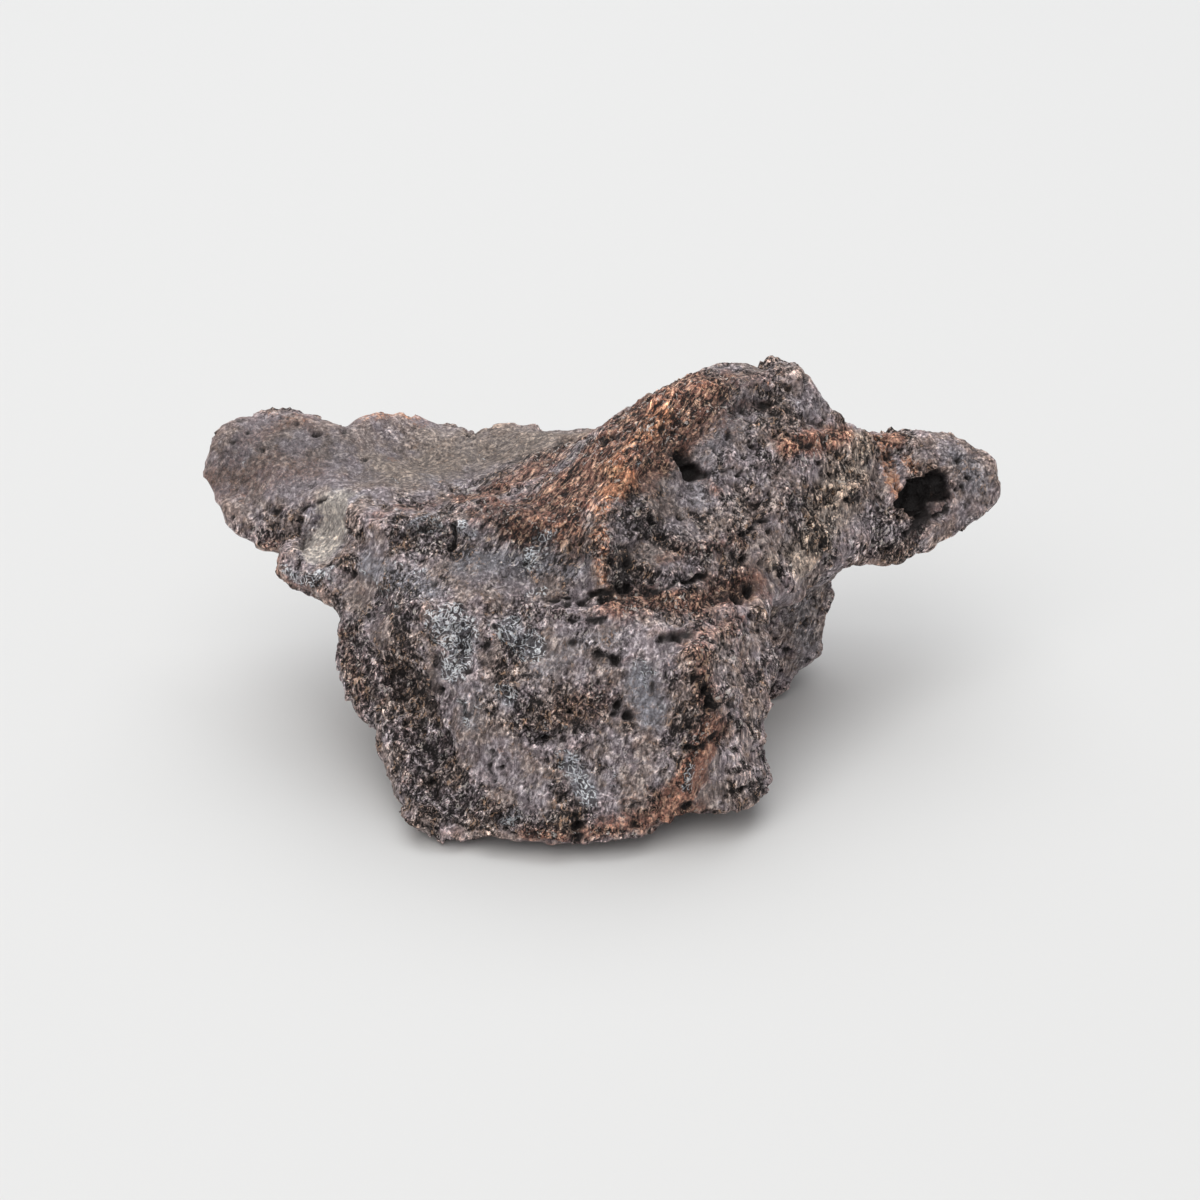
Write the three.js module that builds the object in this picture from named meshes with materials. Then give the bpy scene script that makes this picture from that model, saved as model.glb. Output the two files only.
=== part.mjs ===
// A small weathered stony meteorite, one solid piece, lying as it rests on a table.
// Seen from the front it is shaped like a bull's head: a blunt block comes forward, a ridge rises
// to a peak behind it, and an arm reaches out to each side.
// Millimetres. +X to the right, +Y to the back, +Z up, the table at z = 0.
import * as THREE from 'three';
import { ConvexHull } from 'three/addons/math/ConvexHull.js';
import { ImprovedNoise } from 'three/addons/math/ImprovedNoise.js';

// Driving dimensions
const CELL = 0.72; // spacing of the net that the surface is drawn with
const MARGIN = 2; // free space kept round the stone while its surface is found
const REST_LEVEL = -0.3; // the underside is worn flat at this height below the corners' zero
const FLAT_REACH = 0.07; // what comes this close to the rest level is laid flat on it
const SWELL = 0.35; // the worn skin stands this far outside the hulls of the corners
const STEP_BLEND = 0.4; // how softly two masses run into each other along a sharp step
const CREST_BLEND = 0.75; // along the crests of the peak, the left arm and its hump
const SLOPE_BLEND = 1.4; // and where one mass grows out of the other
const EDGE_WEAR = 0.2; // rounding of a mass's broken edges
// The skin's relief in three sizes: how many lumps in a millimetre, how high, and where in the noise.
const LUMPS = { rate: 0.21, height: 0.42, shift: 0 };
const CHIPS = { rate: 0.36, height: 0.75, shift: 11.7, crest: 0.2 };
const GRIT = { rate: 0.8, height: 0.13, shift: 23.4 };
const EVENING_TURNS = 3; // how often the net is evened out
const EVENING_SHARE = 0.6; // how far a point then moves towards the middle of its neighbours
const WEAR_SHARE = 0.3; // the same for a last time, which wears the sharpest tips off
const SLOPE_STEP = 0.05; // distance over which the field's slope is measured
const LEAST_SLOPE = 0.3; // keeps a point's move short where the field is nearly level

// The masses that the stone is made of, each the hull of its corners.
const MASSES = [
  {
    name: 'front block',
    blend: STEP_BLEND,
    corners: [
      [-8.6, -8.6, 0.4], [-5.9, -9.6, -0.6], [-0.9, -10.3, -0.7], [3.8, -9.7, 1.2], [4.4, -7.2, 8.6],
      [7.0, -7.2, 2.0], [7.4, -1.6, 8.3], [7.5, -4.0, 3.8], [0.4, -5.5, 9.9], [-5.4, -4.9, 9.7],
      [-8.6, -4.0, 8.4], [-8.9, -6.2, 3.2], [-7.5, 3.0, 0.6], [6.5, 3.0, 0.4], [-7.5, 3.0, 8.0],
      [6.5, 3.0, 8.6], [2.0, -8.3, 5.2], [-3.6, -8.5, 4.2],
    ],
  },
  {
    name: 'front right corner',
    blend: STEP_BLEND,
    corners: [
      [4.4, -8.9, 1.1], [6.9, -7.6, 0.9], [7.3, -6.3, 1.1], [7.2, -6.4, 3.0], [6.0, -7.9, 3.4],
      [4.0, -5.0, 0.6], [7.0, -4.0, 1.0], [6.6, -4.5, 4.4],
    ],
  },
  {
    name: 'left flank',
    blend: STEP_BLEND,
    corners: [
      [-11.7, -2.3, 6.3], [-11.8, -3.3, 4.4], [-11.0, -4.3, 3.4], [-10.2, -3.6, 2.4], [-9.2, -4.7, 7.6],
      [-11.3, -1.5, 7.3], [-8.0, 2.0, 8.0], [-8.0, 3.0, 1.4], [-9.6, -5.4, 4.4], [-11.0, 0.5, 4.8],
    ],
  },
  {
    name: 'lower left corner',
    blend: STEP_BLEND,
    corners: [
      [-10.0, -6.0, 3.4], [-9.9, -7.6, 1.5], [-8.9, -9.0, 0.0], [-6.2, -9.6, -0.5], [-6.4, -9.0, 2.0],
      [-7.6, -6.6, 5.0], [-7.0, 0.0, 0.4], [-9.0, -3.0, 1.2], [-9.4, -4.2, 4.2],
    ],
  },
  {
    name: 'body, from the brow to the back rim',
    blend: SLOPE_BLEND,
    corners: [
      [-9.8, -0.8, 11.4], [-5.0, -1.9, 12.0], [-0.2, -2.2, 11.9], [0.2, -4.6, 9.9], [-5.0, -4.5, 9.7],
      [-11.8, -0.8, 7.6], [-9.0, -3.3, 8.8], [-5.9, 9.8, 10.3], [-3.0, 9.9, 10.5], [0.0, 9.3, 11.2],
      [-11.0, 7.5, 11.2], [-12.5, 3.0, 10.8], [6.0, 8.5, 9.5], [4.6, 6.5, 0.3], [-6.4, 5.6, -1.1],
      [-8.5, 8.0, 5.0], [4.0, 9.6, 6.0], [8.0, 2.0, 8.0], [-2.0, 10.0, 5.6], [-10.5, 4.0, 6.0],
    ],
  },
  {
    name: 'peak, with the ridge that climbs to it',
    blend: CREST_BLEND,
    corners: [
      [0.2, -4.7, 10.1], [0.0, -1.9, 12.7], [0.9, -0.5, 13.6], [3.2, 3.7, 15.4], [7.4, 5.5, 15.6],
      [9.4, 6.2, 15.6], [2.2, 7.8, 12.4], [4.4, 8.4, 14.0], [6.6, 8.1, 15.0], [9.0, 8.0, 15.0],
      [11.0, 6.0, 13.6], [11.5, 6.2, 12.6], [7.8, -0.7, 10.0], [4.5, -3.3, 9.9], [1.0, 9.0, 9.0],
      [9.0, 9.4, 9.0], [8.5, 1.0, 8.0], [-6.2, 0.6, 10.4], [-4.6, 8.0, 9.2],
    ],
  },
  {
    name: 'right tier, under the peak',
    blend: STEP_BLEND,
    corners: [
      [6.6, 1.5, 12.6], [9.2, 3.1, 13.0], [12.3, 5.6, 13.0], [12.7, 5.8, 12.2], [12.9, 3.4, 9.2],
      [8.8, 0.0, 9.0], [7.6, -1.5, 8.0], [11.0, 8.6, 11.5], [10.5, 8.0, 6.0], [12.4, 5.3, 7.0],
      [8.0, 1.0, 6.5], [5.0, 4.0, 8.0],
    ],
  },
  {
    name: 'right arm',
    blend: STEP_BLEND,
    corners: [
      [12.0, 7.3, 11.8], [16.8, 7.9, 10.9], [18.5, 7.5, 10.3], [19.1, 6.9, 9.2], [18.8, 6.3, 8.5],
      [16.6, 5.0, 8.2], [13.7, 3.9, 8.0], [18.3, 9.0, 9.6], [15.0, 10.4, 9.6], [10.0, 9.3, 9.8],
      [13.0, 9.0, 6.8], [9.0, 7.0, 7.4], [12.8, 4.6, 10.0],
    ],
  },
  {
    name: 'underside of the right arm',
    blend: STEP_BLEND,
    corners: [
      [10.9, 3.4, 6.6], [13.6, 4.4, 7.1], [16.8, 5.9, 7.4], [18.6, 6.9, 8.2], [17.6, 8.6, 8.6],
      [12.0, 9.0, 6.2], [9.0, 7.0, 5.8], [11.0, 4.4, 8.0], [16.4, 6.4, 8.8],
    ],
  },
  {
    name: 'back foot on the right',
    blend: STEP_BLEND,
    corners: [
      [11.0, 4.4, 5.8], [11.1, 3.8, 3.0], [10.3, 3.4, 1.6], [9.2, 3.0, 0.5], [8.0, 2.6, -0.4],
      [6.0, 2.0, -0.4], [6.0, 2.0, 7.5], [10.3, 7.0, 6.5], [9.8, 7.0, 1.4], [7.0, 7.5, -0.2],
      [2.0, 7.0, 0.4], [2.0, 8.0, 6.0],
    ],
  },
  {
    name: 'left arm, a plate that faces up and forward',
    blend: CREST_BLEND,
    corners: [
      [-19.1, 5.8, 10.7], [-18.8, 6.3, 11.3], [-17.6, 7.4, 12.2], [-15.6, 8.0, 12.7], [-14.0, 7.7, 12.4],
      [-18.3, 4.7, 10.1], [-17.7, 3.8, 9.4], [-16.6, 3.0, 9.0], [-15.2, 2.2, 8.8], [-12.6, 2.3, 10.8],
      [-12.2, 7.2, 12.0], [-17.0, 7.6, 9.6], [-14.5, 8.4, 9.0], [-13.5, 4.0, 7.2], [-9.0, 6.0, 7.0],
      [-9.0, 2.0, 9.0],
    ],
  },
  {
    name: 'left hump, behind that arm',
    blend: CREST_BLEND,
    corners: [
      [-12.2, 8.4, 11.7], [-11.0, 8.8, 12.2], [-9.6, 9.2, 12.0], [-7.2, 9.7, 10.9], [-12.8, 9.2, 10.0],
      [-9.0, 5.0, 11.2], [-11.8, 6.4, 11.6], [-10.0, 10.2, 9.5], [-8.0, 8.0, 7.0], [-12.0, 7.0, 8.0],
    ],
  },
  {
    name: 'left ledge, below that arm',
    blend: STEP_BLEND,
    corners: [
      [-15.0, 1.6, 8.8], [-14.7, 0.5, 8.0], [-13.7, -0.4, 7.4], [-12.2, -0.9, 7.2], [-14.4, 1.4, 9.3],
      [-12.0, -0.4, 9.2], [-10.8, -1.6, 8.8], [-13.0, 3.5, 6.8], [-9.0, 3.0, 6.8], [-9.0, 2.0, 9.4],
    ],
  },
];

// Hollows in it: a centre and the three half widths.
const HOLLOWS = [
  { name: 'saddle between left arm and ridge', at: [-7.0, 4.8, 15.4], size: [5.6, 6.6, 4.4], blend: 1.4 },
  { name: 'scoop below the left arm', at: [-13.1, 0.2, 10.7], size: [1.7, 2.0, 1.9], blend: 0.3 },
  { name: 'cavity in the right arm', at: [15.3, 4.4, 9.8], size: [1.3, 1.8, 0.9], blend: 0.2 },
  { name: 'second mouth of that cavity', at: [16.2, 4.9, 10.2], size: [1.0, 1.4, 1.0], blend: 0.2 },
  { name: 'pit in the grey face', at: [4.2, 0.4, 13.5], size: [0.7, 1.0, 0.8], blend: 0.2 },
  { name: 'hollow high in the grey face', at: [8.0, 3.4, 14.9], size: [1.5, 0.9, 0.6], blend: 0.3 },
  { name: 'dent in the front face', at: [2.6, -9.6, 6.6], size: [1.6, 1.9, 2.4], blend: 0.8 },
  { name: 'dish low in the front face', at: [-3.4, -11.6, 4.4], size: [2.6, 2.6, 2.2], blend: 0.8 },
  { name: 'hollow in the back', at: [-3.5, 12.0, 6.4], size: [4.2, 2.6, 2.8], blend: 0.8 },
  { name: 'second hollow in the back', at: [5.6, 11.2, 10.8], size: [2.4, 2.4, 2.8], blend: 0.6 },
  { name: 'hollow under the left arm', at: [-13.6, 4.4, 4.6], size: [3.4, 3.4, 3.4], blend: 0.8 },
  { name: 'scoop under the back rim', at: [2.0, 11.4, 2.4], size: [3.6, 3.4, 2.4], blend: 0.6 },
  { name: 'dish in the underside', at: [-1.8, -1.4, -1.9], size: [4.8, 3.2, 2.5], blend: 0.5 },
  { name: 'second dish in the underside', at: [4.0, 2.8, -1.6], size: [2.4, 3.8, 2.1], blend: 0.5 },
  { name: 'chip under the left side', at: [-8.4, -2.6, -1.2], size: [2.4, 3.2, 2.0], blend: 0.5 },
  { name: 'chip under the back', at: [-0.6, 8.2, -1.0], size: [3.4, 2.4, 1.8], blend: 0.5 },
];

// Cracks and grooves: the line that each one follows and how wide it is.
const GROOVES = [
  {
    name: 'crack under the grey face',
    halfWidth: 0.45,
    blend: 0.25,
    along: [[-2.5, -5.2, 10.1], [0.0, -5.3, 10.3], [2.5, -4.6, 10.4], [4.5, -3.6, 10.5], [6.6, -1.9, 10.5]],
  },
  {
    name: 'valley at the left of the front face',
    halfWidth: 1.3,
    blend: 1.2,
    along: [[-8.9, -6.4, 7.0], [-8.0, -8.0, 4.8], [-7.3, -9.9, 2.4]],
  },
  {
    name: 'step across the back',
    halfWidth: 0.5,
    blend: 0.3,
    along: [[-10.6, 10.2, 8.0], [-6.0, 11.2, 8.4], [0.0, 11.0, 8.8], [4.6, 10.4, 8.2], [9.6, 10.0, 7.0]],
  },
  {
    name: 'groove along the right arm',
    halfWidth: 0.4,
    blend: 0.2,
    along: [[11.9, 2.6, 7.9], [13.8, 3.4, 8.1], [15.6, 4.4, 8.5], [17.6, 5.8, 8.7]],
  },
];

const noise = new ImprovedNoise();

// Soft versions of min and max, which round the meeting of two surfaces over a width.
function softMin(a, b, width) {
  const closeness = Math.max(width - Math.abs(a - b), 0) / width;
  return Math.min(a, b) - (closeness * closeness * width) / 4;
}

function softMax(a, b, width) {
  return -softMin(-a, -b, width);
}

// The faces of the hull round a mass's corners.
function facesOf(corners) {
  const hull = new ConvexHull().setFromPoints(corners.map((corner) => new THREE.Vector3(...corner)));
  return hull.faces.map((face) => ({ normal: face.normal.clone(), offset: face.constant }));
}

function distanceToMass(faces, point) {
  let distance = -Infinity;
  for (const { normal, offset } of faces) {
    const toFace = normal.dot(point) - offset;
    distance = distance === -Infinity ? toFace : softMax(distance, toFace, EDGE_WEAR);
  }
  return distance;
}

function distanceToHollow({ at, size }, point) {
  const scaled = new THREE.Vector3(
    (point.x - at[0]) / size[0],
    (point.y - at[1]) / size[1],
    (point.z - at[2]) / size[2],
  );
  return (scaled.length() - 1) * Math.min(...size);
}

// Distance to a groove: to the nearest piece of its line, less its half width.
function distanceToGroove({ pieces, halfWidth }, point) {
  const nearest = new THREE.Vector3();
  const distances = pieces.map((piece) => {
    piece.closestPointToPoint(point, true, nearest);
    return nearest.distanceTo(point);
  });
  return Math.min(...distances) - halfWidth;
}

// How far the skin lies inside the plain form at a point.
function roughness(point) {
  const at = ({ rate, shift }) => noise.noise(point.x * rate + shift, point.y * rate, point.z * rate);
  const lumps = LUMPS.height * at(LUMPS);
  const chips = CHIPS.height * (Math.abs(at(CHIPS)) - CHIPS.crest);
  const grit = GRIT.height * at(GRIT);
  return lumps + chips + grit;
}

const masses = MASSES.map(({ blend, corners }) => ({ blend, faces: facesOf(corners) }));
const grooves = GROOVES.map(({ along, halfWidth, blend }) => {
  const turns = along.map((turn) => new THREE.Vector3(...turn));
  const pieces = turns.slice(1).map((turn, n) => new THREE.Line3(turns[n], turn));
  return { pieces, halfWidth, blend };
});

// Signed distance from the stone's surface, negative inside.
function stone(point) {
  let distance = Infinity;
  for (const { blend, faces } of masses) {
    const toMass = distanceToMass(faces, point);
    distance = distance === Infinity ? toMass : softMin(distance, toMass, blend);
  }
  distance -= SWELL;
  for (const hollow of HOLLOWS) {
    distance = softMax(distance, -distanceToHollow(hollow, point), hollow.blend);
  }
  for (const groove of grooves) {
    distance = softMax(distance, -distanceToGroove(groove, point), groove.blend);
  }
  return Math.max(distance + roughness(point), REST_LEVEL - point.z);
}

// Calls visit with every place of a grid from the first place to just before the last.
function eachPlace(first, [nx, ny, nz], visit) {
  for (let k = first; k < nz; k++) {
    for (let j = first; j < ny; j++) {
      for (let i = first; i < nx; i++) visit(i, j, k);
    }
  }
}

// The corners of a grid cell, and its edges as pairs of corners that differ along one axis.
const CELL_CORNERS = [0, 1, 2, 3, 4, 5, 6, 7].map((n) => [n & 1, (n >> 1) & 1, n >> 2]);
const CELL_EDGES = CELL_CORNERS.flatMap((corner, n) =>
  [0, 1, 2].filter((axis) => corner[axis] === 0).map((axis) => [n, n | (1 << axis)]),
);

// For a grid edge along each axis, the four cells round it, in order.
const CELLS_ROUND_EDGE = [
  [[0, -1, -1], [0, 0, -1], [0, 0, 0], [0, -1, 0]],
  [[-1, 0, -1], [-1, 0, 0], [0, 0, 0], [0, 0, -1]],
  [[-1, -1, 0], [0, -1, 0], [0, 0, 0], [-1, 0, 0]],
];

// Where the corners of a square of the grid are inside and outside by turns, the surface would pinch
// itself together there. The outside corner that is nearest to the surface is filled in.
function fillPinches(values, cells, at) {
  const sides = [[0, 1], [0, 2], [1, 2]];
  const steps = [[0, 0], [1, 0], [1, 1], [0, 1]];
  let filled = true;
  while (filled) {
    filled = false;
    eachPlace(0, cells, (i, j, k) => {
      for (const [side, otherSide] of sides) {
        const square = steps.map(([step, otherStep]) => {
          const corner = [i, j, k];
          corner[side] += step;
          corner[otherSide] += otherStep;
          return at(...corner);
        });
        const outside = square.filter((index) => values[index] >= 0);
        const opposite = (square.indexOf(outside[1]) - square.indexOf(outside[0])) === 2;
        if (outside.length !== 2 || !opposite) continue;
        const nearest = values[outside[0]] < values[outside[1]] ? outside[0] : outside[1];
        values[nearest] = -values[nearest] - SLOPE_STEP;
        filled = true;
      }
    });
  }
}

// Draws the surface where the field is zero as a closed net: one point in each cell that the
// surface crosses, and a quad round each edge of the grid that it crosses.
function netOf(field, box, cell) {
  const extent = box.getSize(new THREE.Vector3());
  const counts = extent.toArray().map((length) => Math.ceil(length / cell) + 1);
  const at = (i, j, k) => i + counts[0] * (j + counts[1] * k);
  const place = (i, j, k) => new THREE.Vector3(i, j, k).multiplyScalar(cell).add(box.min);
  const values = new Float64Array(counts[0] * counts[1] * counts[2]);
  eachPlace(0, counts, (i, j, k) => {
    values[at(i, j, k)] = field(place(i, j, k));
  });
  const cells = counts.map((count) => count - 1);
  fillPinches(values, cells, at);

  const points = [];
  const pointOfCell = new Int32Array(values.length).fill(-1);
  eachPlace(0, cells, (i, j, k) => {
    const corner = CELL_CORNERS.map(([a, b, c]) => values[at(i + a, j + b, k + c)]);
    const crossed = CELL_EDGES.filter(([a, b]) => (corner[a] < 0) !== (corner[b] < 0));
    if (crossed.length === 0) return;
    const sum = new THREE.Vector3();
    for (const [a, b] of crossed) {
      const share = corner[a] / (corner[a] - corner[b]);
      const from = new THREE.Vector3(...CELL_CORNERS[a]);
      const to = new THREE.Vector3(...CELL_CORNERS[b]);
      sum.add(from.lerp(to, share));
    }
    const middle = sum.divideScalar(crossed.length).multiplyScalar(cell);
    pointOfCell[at(i, j, k)] = points.length;
    points.push(middle.add(place(i, j, k)));
  });

  const quads = [];
  eachPlace(1, cells, (i, j, k) => {
    const inside = values[at(i, j, k)] < 0;
    const ends = [at(i + 1, j, k), at(i, j + 1, k), at(i, j, k + 1)];
    CELLS_ROUND_EDGE.forEach((around, axis) => {
      const endInside = values[ends[axis]] < 0;
      if (inside === endInside) return;
      const quad = around.map(([a, b, c]) => pointOfCell[at(i + a, j + b, k + c)]);
      quads.push(inside ? quad : quad.reverse());
    });
  });
  return { points, quads };
}

// Moves a point of the net onto the surface itself, by following the field's slope.
function settle(point, field) {
  const value = field(point);
  const slope = new THREE.Vector3(
    field(new THREE.Vector3(point.x + SLOPE_STEP, point.y, point.z)) - value,
    field(new THREE.Vector3(point.x, point.y + SLOPE_STEP, point.z)) - value,
    field(new THREE.Vector3(point.x, point.y, point.z + SLOPE_STEP)) - value,
  ).divideScalar(SLOPE_STEP);
  const move = slope.multiplyScalar(-value / Math.max(slope.lengthSq(), LEAST_SLOPE));
  return point.add(move.clampLength(0, CELL / 2));
}

// Evens out the net: each point goes the given share of the way to the middle of its neighbours.
function evenOut({ points, quads }, share) {
  const sums = points.map(() => ({ total: new THREE.Vector3(), count: 0 }));
  for (const quad of quads) {
    quad.forEach((index, n) => {
      const next = quad[(n + 1) % quad.length];
      const last = quad[(n + quad.length - 1) % quad.length];
      sums[index].total.add(points[next]).add(points[last]);
      sums[index].count += 2;
    });
  }
  points.forEach((point, index) => {
    const { total, count } = sums[index];
    point.lerp(total.divideScalar(count), share);
  });
}

// Each quad becomes two triangles, cut along its shorter diagonal.
function trianglesOf({ points, quads }) {
  const indices = [];
  for (const [a, b, c, d] of quads) {
    const acrossAC = points[a].distanceToSquared(points[c]);
    const acrossBD = points[b].distanceToSquared(points[d]);
    indices.push(...(acrossAC <= acrossBD ? [a, b, c, a, c, d] : [b, c, d, b, d, a]));
  }
  return indices;
}

function stoneGeometry() {
  const corners = MASSES.flatMap((mass) => mass.corners.map((corner) => new THREE.Vector3(...corner)));
  const box = new THREE.Box3().setFromPoints(corners).expandByScalar(MARGIN);
  const net = netOf(stone, box, CELL);
  for (let turn = 0; turn < EVENING_TURNS; turn++) {
    evenOut(net, EVENING_SHARE);
    for (const point of net.points) settle(settle(point, stone), stone);
  }
  evenOut(net, WEAR_SHARE);
  for (const point of net.points) {
    if (point.z < REST_LEVEL + FLAT_REACH) point.z = REST_LEVEL;
  }
  const geometry = new THREE.BufferGeometry().setFromPoints(net.points);
  geometry.setIndex(trianglesOf(net));
  return geometry;
}

// The origin is at the middle of the stone's box, on the table.
function centred(geometry) {
  geometry.computeBoundingBox();
  const middle = geometry.boundingBox.getCenter(new THREE.Vector3());
  geometry.translate(-middle.x, -middle.y, -geometry.boundingBox.min.z);
  geometry.computeVertexNormals();
  return geometry;
}

const material = new THREE.MeshStandardMaterial({ color: 0x4a403c, roughness: 0.75, metalness: 0.05 });
const meteorite = new THREE.Mesh(centred(stoneGeometry()), material);
meteorite.name = 'meteorite';

const part = new THREE.Group();
part.add(meteorite);
export default part;
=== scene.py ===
"""The look of the meteorite: a fine skin of broken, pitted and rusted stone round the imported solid.

Lengths in the stone's own work are millimetres; Blender gets metres. A feature that is named by
pixels of the photograph (of its 1200 x 1200 frame) is put where their rays meet the stone.
"""
import itertools

import bmesh
import bpy
import numpy as np
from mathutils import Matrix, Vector
from mathutils.bvhtree import BVHTree


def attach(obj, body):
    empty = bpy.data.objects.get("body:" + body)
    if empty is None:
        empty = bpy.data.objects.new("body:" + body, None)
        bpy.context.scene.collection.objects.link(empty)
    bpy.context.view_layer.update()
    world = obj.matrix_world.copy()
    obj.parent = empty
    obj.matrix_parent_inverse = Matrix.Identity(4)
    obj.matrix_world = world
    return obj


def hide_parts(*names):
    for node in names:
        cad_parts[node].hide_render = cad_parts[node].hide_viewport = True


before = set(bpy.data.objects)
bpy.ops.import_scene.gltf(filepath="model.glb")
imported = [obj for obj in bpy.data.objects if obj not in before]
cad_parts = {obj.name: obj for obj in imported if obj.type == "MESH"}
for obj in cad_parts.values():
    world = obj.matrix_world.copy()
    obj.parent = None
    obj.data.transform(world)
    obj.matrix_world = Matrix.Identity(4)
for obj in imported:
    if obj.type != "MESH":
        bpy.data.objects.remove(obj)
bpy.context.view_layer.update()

MM = 0.001
SKIN_CELL = 0.158  # spacing of the fine skin's points
FACET_TURNS = 7  # turns of smoothing that take the solid's facets away
SMOOTHING = 0.6
REGAINING = -0.5  # gives back most of the volume that a turn of smoothing takes

# The photograph's camera
FRAME_PIXELS = 1200
FOCAL_PIXELS = 2700
SENSOR = 36.0
ELEVATION = np.radians(30.0)
LOOK_AT = np.array([-0.14, 0.04, 7.3])
CAMERA_DISTANCE = 126.0
FORWARD = np.array([0.0, np.cos(ELEVATION), -np.sin(ELEVATION)])
RIGHT = np.array([1.0, 0.0, 0.0])
UP = np.cross(RIGHT, FORWARD)
CAMERA = LOOK_AT - CAMERA_DISTANCE * FORWARD

# Drawn once, for all the noise
SEED = 20
TABLE_SIZE = 1024
SEED_STRIDE = 131
rng = np.random.default_rng(SEED)
SHUFFLED = rng.permutation(TABLE_SIZE)
ARROWS = rng.normal(size=(TABLE_SIZE, 3))
ARROWS /= np.linalg.norm(ARROWS, axis=1, keepdims=True)
CHANCES = rng.random((TABLE_SIZE, 5))
PLACE_IN_CELL, LIKELIHOOD, GIRTH = slice(0, 3), 3, 4  # columns of CHANCES

NOISE_GAIN = 1.6  # brings the noise's usual range to about -1 to 1
TILT_GAIN, STEP_GAIN = 1.6, 0.7  # how much chipped faces tilt, and step up or down from one another
LAYER_SHIFT, CREASE_SHIFT, AXIS_SHIFT = 7.3, 5.1, 3.3  # keep layers of one noise from lining up


# Noise in space

def drawn(cell, seed):
    """A whole number below TABLE_SIZE for each grid cell, the same on every run."""
    x, y, z = cell.T
    last = TABLE_SIZE - 1
    return SHUFFLED[(SHUFFLED[(SHUFFLED[(x + seed * SEED_STRIDE) & last] + y) & last] + z) & last]


def noise(points, seed):
    """Smooth noise of about -1 to 1, one lump to a unit."""
    cell = np.floor(points).astype(np.int64)
    local = points - cell
    fade = local**3 * (local * (local * 6 - 15) + 10)
    total = np.zeros(len(points))
    for corner in itertools.product((0, 1), repeat=3):
        corner = np.array(corner)
        arrow = ARROWS[drawn(cell + corner, seed)]
        weight = np.where(corner == 1, fade, 1 - fade).prod(1)
        total += weight * ((local - corner) * arrow).sum(1)
    return total * NOISE_GAIN


def layered(points, size, layers, seed, keep=0.5):
    """Noise with lumps of a size, and finer ones on them."""
    total, height = np.zeros(len(points)), 1.0
    for layer in range(layers):
        total += height * noise(points / size + layer * LAYER_SHIFT, seed + layer)
        size, height = size / 2, height * keep
    return total


def creased(points, size, layers, seed, keep=0.5):
    """Rounded lumps with sharp valleys between them: 0 in the valleys, about 1 on the lumps."""
    total, height = np.zeros(len(points)), 1.0
    for layer in range(layers):
        total += height * np.abs(noise(points / size + layer * CREASE_SHIFT, seed + layer))
        size, height = size / 2, height * keep
    return total


def moved_about(points, size, reach, seed):
    """The points shifted by a noise, so that what is laid out over them comes out uneven."""
    shifts = [noise(points / size + AXIS_SHIFT * axis, seed + axis) for axis in range(3)]
    return points + reach * np.stack(shifts, 1)


def scattered(points, size, seed):
    """For each point: the nearest of some scattered places, as its offset, its chances and its arrow."""
    scaled = points / size
    cell = np.floor(scaled).astype(np.int64)
    nearest = np.full(len(points), np.inf)
    offset = np.zeros((len(points), 3))
    number = np.zeros(len(points), np.int64)
    for step in itertools.product((-1, 0, 1), repeat=3):
        neighbour = cell + np.array(step)
        drawn_number = drawn(neighbour, seed)
        away = scaled - neighbour - CHANCES[drawn_number, PLACE_IN_CELL]
        distance = (away * away).sum(1)
        closer = distance < nearest
        nearest[closer] = distance[closer]
        offset[closer] = away[closer]
        number[closer] = drawn_number[closer]
    return offset * size, CHANCES[number], ARROWS[number]


def chipped(points, size, seed):
    """Small flat faces with steps between them, like broken stone: about -1 to 1."""
    uneven = moved_about(points, size * 0.7, size * 0.22, seed)
    offset, chances, arrows = scattered(uneven, size, seed)
    tilt = (offset * arrows).sum(1) / size * TILT_GAIN
    step = (chances[:, LIKELIHOOD] - 0.5) * STEP_GAIN
    return tilt + step


def step_up(values, low, high):
    """0 below low, 1 above high, smooth between."""
    share = np.clip((values - low) / (high - low), 0, 1)
    return share * share * (3 - 2 * share)


# The skin's mesh

class Skin:
    """The points and faces of the fine skin, in millimetres."""

    def __init__(self, mesh):
        self.points = np.empty(len(mesh.vertices) * 3, np.float32)
        mesh.vertices.foreach_get("co", self.points)
        self.points = self.points.reshape(-1, 3).astype(float)
        self.quads = np.empty(len(mesh.polygons) * 4, np.int32)
        mesh.polygons.foreach_get("vertices", self.quads)
        self.quads = self.quads.reshape(-1, 4)
        edges = np.empty(len(mesh.edges) * 2, np.int32)
        mesh.edges.foreach_get("vertices", edges)
        edges = edges.reshape(-1, 2)
        self.ends = np.concatenate([edges, edges[:, ::-1]])
        self.counts = np.bincount(self.ends[:, 0], minlength=len(self.points))

    def around(self, values):
        """The mean of each point's neighbours."""
        flat = values.reshape(len(self.points), -1)
        sums = [
            np.bincount(self.ends[:, 0], flat[self.ends[:, 1], column], len(self.points))
            for column in range(flat.shape[1])
        ]
        return (np.stack(sums, 1) / self.counts[:, None]).reshape(values.shape)

    def smoothed(self, values, turns, share=0.5):
        for _ in range(turns):
            values = values + share * (self.around(values) - values)
        return values

    def normals(self):
        a, b, c, d = (self.points[self.quads[:, n]] for n in range(4))
        face = np.cross(c - a, d - b)
        total = np.zeros_like(self.points)
        for corner in range(4):
            for axis in range(3):
                total[:, axis] += np.bincount(self.quads[:, corner], face[:, axis], len(total))
        return total / np.maximum(np.linalg.norm(total, axis=1, keepdims=True), 1e-12)

    def hollowness(self, turns):
        """How deep each point lies under its surroundings, in millimetres."""
        middle = self.smoothed(self.points, turns)
        return ((middle - self.points) * self.smoothed(self.normals(), 3)).sum(1)


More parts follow.
